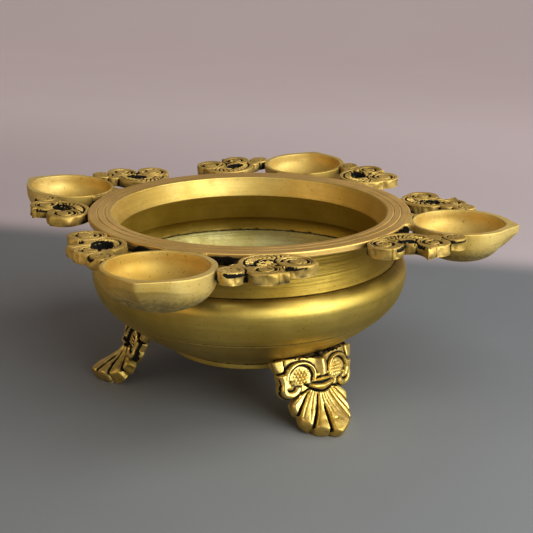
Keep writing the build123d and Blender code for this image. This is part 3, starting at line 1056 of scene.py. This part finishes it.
def foot_shape(x, y):
    """Outline of a foot's face: square-cornered head, curls, waist and scalloped fan."""
    wide = np.abs(x)
    edge = np.interp(y, *zip(*HEAD_EDGE))
    brow = np.interp(wide, *zip(*HEAD_BROW))
    head = np.maximum(np.maximum(wide - edge, brow - y), y - 21.0)
    body = np.minimum(head, disc(wide, y, (CURL[0], CURL[1], CURL[2] + 1.9)))
    body = np.minimum(body, disc(wide, y, (VOLUTE[0], VOLUTE[1], VOLUTE[2] + 1.0)))
    body = np.minimum(body, np.maximum(wide - 10.0, np.maximum(brow - y, y - 26.0)))
    reach, angle = fan_angle(x, y)
    gap, _ = fan_gap(reach, angle)
    length = FAN_REACH - FAN_NARROWING * np.abs(angle) - 1.7 * bump(gap, 1.2) * ramp(angle, -14, -6)
    side = radians(1) * (np.abs(angle) - FAN_HALF_SPREAD) * np.maximum(reach, 6)
    return np.minimum(body, np.maximum(reach - length, side))


def foot_height(seed):
    """Relief of a foot's face: notched nose, grained bosses in scrolled volutes, and a lobed fan."""

    def height(x, y):
        spot = np.stack([x, y], -1)
        x = x + 0.22 * ripple(spot, 9, seed)
        y = y + 0.22 * ripple(spot, 9, seed + 1)
        wide = np.abs(x)
        nose = 2.6 * bump(x + 0.4, 2.1 + 0.06 * y) * ramp(y, 4.2, 6.5) * (1 - ramp(y, 14.2, 15.2))
        knot = 1.5 * bump(y - 13.9, 1.1) * (1 - ramp(wide, 3.4, 5.0))
        band = 1.9 * bump(y - 16.4, 0.9) * (1 - ramp(wide, 5.6, 7.0))
        lip = 2.2 * bump(y - 20.0 + 0.02 * wide**2, 1.15) * (1 - ramp(wide, 7.2, 8.6))
        face = np.maximum(np.maximum(nose, knot), np.maximum(band, lip))
        beside_nose = ramp(wide, 0.9, 1.8) * (1 - ramp(wide, 5.4, 6.2))
        face -= 2.4 * bump(y - 15.2 - 0.02 * wide**2, 0.4) * beside_nose
        face -= 1.9 * stroke(x, y, ((-6.0, 17.6), (0.2, 18.5), (6.8, 17.1)), 0.36)

        radius, angle = around(wide, y, VOLUTE)
        from_top = np.abs((angle - 262 + 180) % 360 - 180)
        arch = 1 - ramp(from_top, 96, 116)
        in_well = 1 - ramp(radius, 6.4, 7.0)
        face = face * (1 - in_well) - 1.7 * in_well
        from_side = 0.9 + 0.9 * ramp(wide, 12, 18)
        face = np.maximum(face, 2.3 * ledge(radius - VOLUTE[2], from_side) * arch - 1.7 * in_well)
        face -= 1.7 * bump(radius - 9.1, 0.42) * (1 - ramp(from_top, 70, 92)) * ramp(wide, 3.5, 5.0)
        boss, _ = around(wide, y, BOSS)
        across = wide + 0.5 * GRAIN_PITCH * (np.floor(y / GRAIN_PITCH) % 2)
        grain = np.abs(np.sin(pi * across / GRAIN_PITCH) * np.sin(pi * y / GRAIN_PITCH)) ** 0.5
        dome = -2.2 + 1.8 * np.sqrt(np.clip(1 - (boss / BOSS[2]) ** 2, 0, 1))
        face = np.where(boss < BOSS[2], dome + (1.5 + 0.3 * ripple(spot, 1.5, seed + 2)) * grain, face)

        hook, turn = around(wide, y, CURL)
        hook_side = 1 - ramp(np.abs((turn - 78 + 180) % 360 - 180), 128, 150)
        rolled = -2.0 + 4.1 * ledge(hook - CURL[2], 1.9) * hook_side
        in_curl = (hook < CURL[2] + 1.9) & (boss > BOSS[2])
        outside = face
        face = np.where(in_curl, np.maximum(rolled, np.where(hook > CURL[2], outside, -1.9)), face)
        face = np.maximum(face, 3.4 * bump(disc(wide, y, CURL_BALL) + CURL_BALL[2], 1.3) - 1.6)

        edge = np.interp(y, *zip(*HEAD_EDGE))
        wing = 2.1 * ledge(edge - wide - 2.2, 2.3) * ramp(y, 9.8, 11.2) * (1 - ramp(y, 17.0, 19.5))
        face = np.maximum(face, wing)
        block = 1 - ramp(y, 9.2, 9.8)
        face += 0.8 * ramp(wide, 19.6, 20.6) * block
        face -= 1.6 * bump(wide - 19.3 - 0.12 * (y - 3), 0.32) * block * ramp(y, 2.5, 4.0)
        face -= 1.8 * bump(y - 9.7 - 0.15 * (wide - 22), 0.35) * ramp(wide, 18.6, 19.6)

        reach, turn = fan_angle(x, y)
        gap, cut = fan_gap(reach, turn)
        far = ramp(reach, 12, 26)
        lobe = np.sqrt(1 - (1 - np.clip(gap / 3.8, 0, 1)) ** 2)
        fan = (0.4 + 1.3 * far) * lobe - (1.5 + 1.0 * far) * cut
        for line in FAN_LINES:
            away = radians(1) * reach * (turn - line * (1 + 0.1 * far))
            fading = 1 - ramp(reach, 20, 29) if line > -20 else 1
            fan -= 0.7 * bump(away, 0.28) * fading * ramp(reach, 9, 12)
        down = y - waist_run(x)
        clear = np.minimum(hook - CURL[2] - 1.9, radius - VOLUTE[2] - 0.9)
        below = ramp(down, -0.3, 0.7) * ramp(clear, -0.3, 0.4)
        face = face * (1 - below) + fan * below
        face -= 2.4 * bump(down - 0.1, 0.55) * (1 - ramp(wide, 8.5, 10.5))
        face -= 2.4 * bump(clear - 0.2, 0.5) * ramp(down, 0.5, 2.0)
        face -= 0.35 * ramp(ripple(spot, 0.7, seed + 3), 1.5, 2.3)
        face += 0.10 * ripple(spot, 1.4, seed + 4)
        return face

    return height


FOOT_LEAN = {"front_right": -2.4, "front_left": 0.0, "back": 0.6}  # sideways, at the head
FOOT_TWIST = {"front_right": 0.0, "front_left": 6.0, "back": 1.5}  # degrees about its own upright
FOOT_SIDE = {"front_right": 1, "front_left": -1, "back": 1}  # -1 for a mirrored casting
FOOT_INK = {"front_right": 0.32, "front_left": 0.85, "back": 0.5}  # black in its grooves
FOOT_MIDDLE = 80.0  # its distance from the bowl's axis


def foot_place(name):
    """Turns a foot's own x across, y down its front and depth below its face into space."""
    angle, lean, side = radians(FEET[name]), FOOT_LEAN[name], FOOT_SIDE[name]
    middle = FOOT_MIDDLE * np.array([cos(angle), sin(angle), 0])
    turn = angle + radians(FOOT_TWIST[name])
    out = np.array([cos(turn), sin(turn), 0])
    along = np.array([out[1], -out[0], 0])
    up = np.array([0, 0, 1.0])

    def place(x, y, depth):
        distance = np.interp(y, FOOT_RUN, FOOT_LINE[:, 0])
        height = np.interp(y, FOOT_RUN, FOOT_LINE[:, 1])
        forward = np.interp(y, FOOT_RUN, -FOOT_SLOPE[:, 1])
        lift = np.interp(y, FOOT_RUN, FOOT_SLOPE[:, 0])
        below = ramp(y, WAIST - 3, WAIST + 12)
        wide = np.sqrt(x * x + 1.5)
        crown = (1 - below) * 6.4 * (wide / 22) ** 1.2 + below * 8.0 * (wide / 19.5) ** 1.9
        behind = depth + crown
        distance = distance - forward * behind
        height = np.maximum(height - lift * behind, 0)
        shifted = side * x + lean * (1 - ramp(y, 8, 26))
        return (
            middle
            + np.multiply.outer(shifted, along)
            + np.multiply.outer(distance - FOOT_MIDDLE, out)
            + np.multiply.outer(height, up)
        )

    return place


def make_foot(name, material, number):
    """One cast shell foot."""
    seed = 700 + 20 * number

    def depth(x, y):
        thick = 5.0 + 2.5 * ramp(y, WAIST, TOE) - 1.0 * ramp(np.abs(x), 14, 24)
        return thick + 0.3 * ripple(np.stack([x, y], -1), 4, seed + 9)

    points, faces, cavity = relief_slab(
        (-27, 27, HEAD_TOP - 1, TOE + 3),
        0.34,
        foot_shape,
        foot_height(seed),
        depth,
        foot_place(name),
        1.1,
        roughness=0.2,
        seed=seed,
        ink=FOOT_INK[name],
    )
    piece = new_piece(f"foot_{name}_cast", points, faces, material, cavity, 55)
    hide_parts(f"foot_{name}")


def belly_underside(radius):
    """Height of the belly's underside at a distance from the axis."""
    return UNDERSIDE[1] - np.sqrt(UNDERSIDE_ROUND**2 - (radius - UNDERSIDE[0]) ** 2)


FOOT_BRAZE_HALF_SPAN = 23.0
FOOT_BRAZE_RADII = (2.6, 1.5)
FOOT_BRAZE_LUMPS = 0.16


def make_foot_braze(name, material, number):
    """Dark braze metal between a foot's head and the belly."""
    place = foot_place(name)
    x = np.linspace(-FOOT_BRAZE_HALF_SPAN, FOOT_BRAZE_HALF_SPAN, 80)
    face = place(x, HEAD_TOP + 0.6 + 0 * x, 3.4 + 0 * x)
    radius = np.hypot(face[:, 0], face[:, 1])
    face[:, 2] = (face[:, 2] + belly_underside(radius)) / 2 + 0.3
    seed = 900 + 10 * number
    lumpy_bead(f"braze_foot_{name}", face, *FOOT_BRAZE_RADII, material, seed, FOOT_BRAZE_LUMPS)


# ---- materials --------------------------------------------------------------------------------


def add(tree, kind, inputs=(), **settings):
    """A shader node. An input takes a value or another node's output."""
    made = tree.nodes.new(kind)
    for key, value in settings.items():
        setattr(made, key, value)
    for key, value in dict(inputs).items():
        if isinstance(value, bpy.types.NodeSocket):
            tree.links.new(value, made.inputs[key])
        else:
            made.inputs[key].default_value = value
    return made


def maths(tree, operation, first, second=0.0, clamp=False):
    """The result of one sum."""
    terms = {0: first, 1: second}
    return add(tree, "ShaderNodeMath", terms, operation=operation, use_clamp=clamp).outputs[0]


def mix_colour(tree, share, first, second, blend="MIX"):
    """One colour mixed into another by a share."""
    made = add(
        tree,
        "ShaderNodeMix",
        {"Factor": share, 6: first, 7: second},
        data_type="RGBA",
        blend_type=blend,
    )
    return made.outputs[2]


def noise(tree, vector, scale, detail=2.0, roughness=0.5):
    """Noise about 0.5 at a scale in features to the metre."""
    made = add(
        tree,
        "ShaderNodeTexNoise",
        {"Vector": vector, "Scale": scale, "Detail": detail, "Roughness": roughness},
    )
    return made.outputs["Fac"]


def steps(tree, value, low_end, high_end, low_value=0.0, high_value=1.0):
    """A value stretched from one range to another, and held at its ends."""
    made = add(
        tree,
        "ShaderNodeMapRange",
        {"Value": value, 1: low_end, 2: high_end, 3: low_value, 4: high_value},
        interpolation_type="SMOOTHSTEP",
    )
    return made.outputs[0]


# Sizes of the noise in the finishes, in features to the metre, and of their fine relief in metres.
CLOUD_SCALE = 26.0
ROUGHNESS_SCALE = 120.0
MOTTLE_SCALE = 420.0
SPECKLE_SCALE = 900.0
GRAIN_SCALE = 2600.0
WIDE_LINE_SHARE = 0.22  # how many wide turning lines there are for each fine one
RELIEF_HEIGHT = 0.00012
PATINA_AND_SHADE = (0.012, 0.008, 0.004, 1)


def brass(
    name,
    light,
    deep,
    roughness,
    turned_lines=0.0,
    grain=0.0,
    patina_start=0.25,
    polish=0.0,
    anisotropy=0.0,
    speckle=0.0,
    line_pitch=1500.0,
    specular=0.5,
    metallic=1.0,
):
    """Brass with cloudy tone, turning lines or grain, worn edges, dark patina in its cavities, and
    painted shade where a piece's cavity attribute carries it.
    """
    material = bpy.data.materials.new(name)
    material.use_nodes = True
    tree = material.node_tree
    shader = tree.nodes["Principled BSDF"]
    spot = add(tree, "ShaderNodeTexCoord").outputs["Object"]
    split = add(tree, "ShaderNodeSeparateXYZ", {0: spot})
    flat = add(tree, "ShaderNodeCombineXYZ", {0: split.outputs[0], 1: split.outputs[1]})
    length = add(tree, "ShaderNodeVectorMath", {0: flat.outputs[0]}, operation="LENGTH")
    radius = length.outputs["Value"]
    sideways = maths(tree, "MULTIPLY", maths(tree, "ADD", split.outputs[0], split.outputs[1]), 0.03)
    lathe = add(tree, "ShaderNodeCombineXYZ", {0: radius, 1: split.outputs[2], 2: sideways}).outputs[0]

    cloud = noise(tree, spot, CLOUD_SCALE, 4.0, 0.55)
    mottle = noise(tree, spot, MOTTLE_SCALE, 3.0, 0.6)
    tone = steps(tree, cloud, 0.32, 0.68)
    colour = mix_colour(tree, tone, deep, light)
    colour = mix_colour(tree, steps(tree, mottle, 0.3, 0.75, 0.0, 0.28), colour, deep)
    lines = noise(tree, lathe, line_pitch, 3.0, 0.65)
    wide_lines = noise(tree, lathe, line_pitch * WIDE_LINE_SHARE, 2.0, 0.5)
    if turned_lines:
        shade = steps(tree, wide_lines, 0.35, 0.7, 0.0, 0.30 * min(turned_lines, 1.5))
        colour = mix_colour(tree, shade, colour, [0.55 * c for c in deep[:3]] + [1])
    fine = noise(tree, spot, GRAIN_SCALE, 2.0, 0.6)
    if speckle:
        dots = steps(tree, noise(tree, spot, SPECKLE_SCALE, 1.0, 0.4), 0.69, 0.76, 0.0, speckle)
        colour = mix_colour(tree, dots, colour, [0.25 * c for c in deep[:3]] + [1])

    cavity = add(tree, "ShaderNodeAttribute", attribute_name="cavity").outputs["Fac"]
    worn = steps(tree, cavity, -0.15, -0.75, 0.0, polish)
    colour = mix_colour(tree, worn, colour, [min(1.25 * c, 0.95) for c in light[:3]] + [1])
    # Dark patina in hollows, and painted shade on the cup undersides, the castings' walls and backs and
    # the gap beads.
    ragged = maths(tree, "MULTIPLY", maths(tree, "SUBTRACT", mottle, 0.5), 0.35)
    dirt = steps(tree, maths(tree, "ADD", cavity, ragged), patina_start, 0.8)
    colour = mix_colour(tree, dirt, colour, PATINA_AND_SHADE)
    tree.links.new(colour, shader.inputs["Base Color"])

    low_rough, high_rough = roughness
    rough = noise(tree, spot, ROUGHNESS_SCALE, 4.0, 0.6)
    rough = steps(tree, rough, 0.3, 0.7, low_rough, high_rough)
    rough = maths(tree, "SUBTRACT", rough, maths(tree, "MULTIPLY", worn, 0.12))
    rough = maths(tree, "ADD", rough, maths(tree, "MULTIPLY", dirt, 0.35), clamp=True)
    tree.links.new(rough, shader.inputs["Roughness"])
    metal = maths(tree, "SUBTRACT", metallic, maths(tree, "MULTIPLY", dirt, 0.75), clamp=True)
    tree.links.new(metal, shader.inputs["Metallic"])
    shader.inputs["Specular IOR Level"].default_value = specular
    if anisotropy:
        shader.inputs["Anisotropic"].default_value = anisotropy
        tangent = add(tree, "ShaderNodeTangent", direction_type="RADIAL", axis="Z")
        tree.links.new(tangent.outputs[0], shader.inputs["Tangent"])

    relief = maths(tree, "MULTIPLY", fine, 0.35 * grain)
    relief = maths(tree, "ADD", relief, maths(tree, "MULTIPLY", mottle, grain))
    relief = maths(tree, "ADD", relief, maths(tree, "MULTIPLY", lines, turned_lines))
    relief = maths(tree, "ADD", relief, maths(tree, "MULTIPLY", wide_lines, turned_lines * 1.2))
    bumped = add(tree, "ShaderNodeBump", {"Height": relief, "Strength": 1.0, "Distance": RELIEF_HEIGHT})
    tree.links.new(bumped.outputs[0], shader.inputs["Normal"])
    return material


# Each finish: its name, light colour, deep colour, least and most roughness, and what else it has.
FINISHES = {
    "rim": (
        "rim_brushed_brass",
        (0.80, 0.57, 0.22, 1),
        (0.70, 0.48, 0.16, 1),
        (0.50, 0.60),
        {"turned_lines": 0.6, "grain": 0.3, "anisotropy": 0.3, "speckle": 0.25, "metallic": 0.85},
    ),
    "lip": (
        "lip_turned_brass",
        (0.80, 0.62, 0.25, 1),
        (0.68, 0.49, 0.14, 1),
        (0.50, 0.60),
        {"turned_lines": 0.5, "grain": 0.25, "anisotropy": 0.3, "speckle": 0.3},
    ),
    # Its colours are darkened to paint the shade under the rim's overhang.
    "neck": (
        "neck_turned_brass",
        (0.48, 0.345, 0.085, 1),
        (0.34, 0.22, 0.040, 1),
        (0.48, 0.58),
        {
            "turned_lines": 1.1, "grain": 0.3, "anisotropy": 0.4,
            "speckle": 0.5, "line_pitch": 1100.0,
        },
    ),
    "belly": (
        "belly_satin_brass",
        (0.72, 0.55, 0.165, 1),
        (0.56, 0.40, 0.09, 1),
        (0.44, 0.54),
        {"turned_lines": 0.45, "grain": 0.22, "anisotropy": 0.4, "speckle": 0.35},
    ),
    "cup": (
        "cup_filed_brass",
        (0.76, 0.60, 0.25, 1),
        (0.62, 0.43, 0.11, 1),
        (0.56, 0.68),
        {"grain": 0.9, "speckle": 0.5, "metallic": 0.7},
    ),
    "floor": (
        "bowl_floor_brass",
        (0.60, 0.54, 0.28, 1),
        (0.44, 0.36, 0.13, 1),
        (0.46, 0.58),
        {"turned_lines": 1.0, "grain": 0.3, "anisotropy": 0.4, "speckle": 0.4},
    ),
    "scroll": (
        "scroll_filed_brass",
        (0.76, 0.56, 0.20, 1),
        (0.50, 0.35, 0.10, 1),
        (0.56, 0.70),
        {"grain": 0.8, "speckle": 0.4, "polish": 0.3, "patina_start": 0.2, "metallic": 0.8},
    ),
    "cast": (
        "foot_cast_brass",
        (0.80, 0.62, 0.24, 1),
        (0.56, 0.39, 0.10, 1),
        (0.42, 0.56),
        {"grain": 0.9, "speckle": 0.3, "polish": 0.8},
    ),
    # Dark braze; on the crust beads under the rim it also paints the gaps' shade.
    "braze": (
        "dark_braze",
        (0.26, 0.18, 0.07, 1),
        (0.10, 0.06, 0.03, 1),
        (0.60, 0.80),
        {"grain": 1.4, "patina_start": 0.1, "specular": 0.15},
    ),
}


def make_materials():
    """Every finish of the object, by its short name."""
    return {key: brass(*values[:-1], **values[-1]) for key, values in FINISHES.items()}


# ---- camera, light and floor --------------------------------------------------------------------
CAMERA_DIRECTION = -70.6  # degrees round the bowl
CAMERA_ELEVATION = 14.372
CAMERA_DISTANCE = 520.6  # to the middle of the rim's top
CAMERA_LENS = 62.19
CAMERA_YAW = 1.0415
CAMERA_PITCH = 3.733
CAMERA_ROLL = 0.095


def make_camera():
    """The photograph's point of view: aimed at the rim, then turned a little right and down."""
    data = bpy.data.cameras.new("camera")
    data.lens = CAMERA_LENS
    data.sensor_width = 36
    data.clip_start = 0.01
    camera = bpy.data.objects.new("camera", data)
    bpy.context.scene.collection.objects.link(camera)
    target = Vector((0, 0, RIM_TOP))
    level = radians(CAMERA_ELEVATION)
    turn = radians(CAMERA_DIRECTION)
    back = Vector((cos(level) * cos(turn), cos(level) * sin(turn), sin(level)))
    forward = -back
    right = forward.cross(Vector((0, 0, 1))).normalized()
    up = right.cross(forward)
    yaw = Matrix.Rotation(-radians(CAMERA_YAW), 3, up)
    forward, right = yaw @ forward, yaw @ right
    pitch = Matrix.Rotation(-radians(CAMERA_PITCH), 3, right)
    forward, up = pitch @ forward, pitch @ up
    roll = Matrix.Rotation(radians(CAMERA_ROLL), 3, forward)
    right, up = roll @ right, roll @ up
    basis = Matrix((right, up, -forward)).transposed().to_4x4()
    camera.matrix_world = Matrix.Translation((target + back * CAMERA_DISTANCE) * MM) @ basis
    bpy.context.scene.camera = camera


# Each light: its place, what it is aimed at and its size in millimetres, its watts and its colour.
LIGHTS = {
    "window": ((890, -470, 400), (0, 0, 70), (800, 800), 10.5, (0.90, 0.98, 1.06)),
    "above": ((420, -420, 1000), (0, 0, 60), (800, 700), 4, (0.93, 0.98, 1.03)),
    "right": ((900, 300, 760), (0, 0, 90), (500, 500), 4.4, (0.96, 0.98, 1.0)),
    "fill": ((-520, -620, 260), (0, 0, 50), (500, 400), 1.3, (1.0, 0.78, 0.50)),
}


def make_light(name, place, aim, size, power, colour):
    """A soft rectangular light, placed and aimed in millimetres."""
    data = bpy.data.lights.new(name, "AREA")
    data.shape = "RECTANGLE"
    data.size, data.size_y = size[0] * MM, size[1] * MM
    data.energy = power
    data.color = colour
    light = bpy.data.objects.new(name, data)
    light.location = Vector(place) * MM
    light.rotation_euler = (Vector(place) - Vector(aim)).to_track_quat("Z", "Y").to_euler()
    bpy.context.scene.collection.objects.link(light)


FLOOR_GREY = (0.236, 0.239, 0.237, 1)
WALL_MAUVE = (0.44, 0.375, 0.37, 1)
WALL_DISTANCE = 0.25  # metres behind the bowl's axis, where the floor's tone changes
WALL_TURN = 4.2  # degrees
FLOOR_CLOUD = (0.52, 0.51, 0.50, 1)
FLOOR_CLOUD_SCALE = 4.0
FLOOR_CLOUD_SHARE = 0.10
NEAR_PAINTED_LIGHT, FAR_PAINTED_LIGHT = 0.31, 0.32  # painted light: the far zone glows in place of lamp light on it


def make_floor():
    """A plain floor, mauve-grey further back and faintly glowing there as painted light, that sweeps up
    into a far wall.
    """
    reach, back, height, sweep = 3500.0, 2400.0, 3000.0, 600.0
    turn = radians(WALL_TURN)
    profile = [(-reach, 0.0), (back - sweep, 0.0)]
    for angle in np.radians(np.linspace(-80, 0, 12)):
        profile.append((back - sweep + sweep * cos(angle), sweep + sweep * sin(angle)))
    profile.append((back, height))
    points = []
    for depth, rise in profile:
        for side in (-reach, reach):
            across = side * cos(turn) - depth * sin(turn)
            along = side * sin(turn) + depth * cos(turn)
            points.append((across, along, rise))
    faces = [(2 * i, 2 * i + 1, 2 * i + 3, 2 * i + 2) for i in range(len(profile) - 1)]
    mesh = bpy.data.meshes.new("floor")
    mesh.from_pydata([Vector(p) * MM for p in points], [], faces)
    mesh.shade_smooth()
    material = bpy.data.materials.new("pale_floor")
    material.use_nodes = True
    tree = material.node_tree
    shader = tree.nodes["Principled BSDF"]
    spot = add(tree, "ShaderNodeTexCoord").outputs["Object"]
    away = add(
        tree,
        "ShaderNodeVectorMath",
        {0: spot, 1: (-sin(turn), cos(turn), 0)},
        operation="DOT_PRODUCT",
    ).outputs["Value"]
    behind = steps(tree, away, WALL_DISTANCE - 0.02, WALL_DISTANCE + 0.03)
    tone = mix_colour(tree, behind, FLOOR_GREY, WALL_MAUVE)
    cloudy = steps(tree, noise(tree, spot, FLOOR_CLOUD_SCALE, 3.0), 0.3, 0.7, 0.0, FLOOR_CLOUD_SHARE)
    tone = mix_colour(tree, cloudy, tone, FLOOR_CLOUD)
    tree.links.new(tone, shader.inputs["Base Color"])
    shader.inputs["Roughness"].default_value = 0.65
    # Painted light: behind the bowl the floor and wall glow, more the further back.
    shader.inputs["Emission Color"].default_value = WALL_MAUVE
    near_painted_light = steps(tree, away, WALL_DISTANCE - 0.02, WALL_DISTANCE + 0.05, 0.0, NEAR_PAINTED_LIGHT)
    painted_wall_light = maths(tree, "ADD", near_painted_light, steps(tree, away, WALL_DISTANCE, 1.0, 0.0, FAR_PAINTED_LIGHT))
    tree.links.new(painted_wall_light, shader.inputs["Emission Strength"])
    mesh.materials.append(material)
    floor = bpy.data.objects.new("floor", mesh)
    bpy.context.scene.collection.objects.link(floor)


ROOM_COLOUR = (0.62, 0.59, 0.565, 1)
ROOM_STRENGTH = 0.39


def make_world():
    """Even, slightly warm room light."""
    world = bpy.data.worlds.new("room")
    world.use_nodes = True
    background = world.node_tree.nodes["Background"]
    background.inputs["Color"].default_value = ROOM_COLOUR
    background.inputs["Strength"].default_value = ROOM_STRENGTH
    bpy.context.scene.world = world


# ---- the whole object ---------------------------------------------------------------------------
make_camera()
make_floor()
make_world()
for name, setting in LIGHTS.items():
    make_light(name, *setting)
bpy.context.scene.view_settings.view_transform = "Standard"
bpy.context.scene.view_settings.gamma = 0.78
bpy.context.scene.view_settings.exposure = 0.05

finish = make_materials()
make_rim(finish["rim"], finish["lip"])
make_neck(finish["neck"], finish["belly"])
make_belly(finish["belly"], finish["floor"])
make_foot_ring(finish["belly"])
for number, arm in enumerate(ARMS):
    make_cup(arm, finish["cup"], number)
    make_tab(arm, finish["scroll"], number)
    make_crusts_and_gap_shade(arm, finish["braze"], number)
    make_scroll(arm, "left", finish["scroll"], 2 * number)
    make_scroll(arm, "right", finish["scroll"], 2 * number + 1)
for number, name in enumerate(FEET):
    make_foot(name, finish["cast"], number)
    make_foot_braze(name, finish["braze"], number)
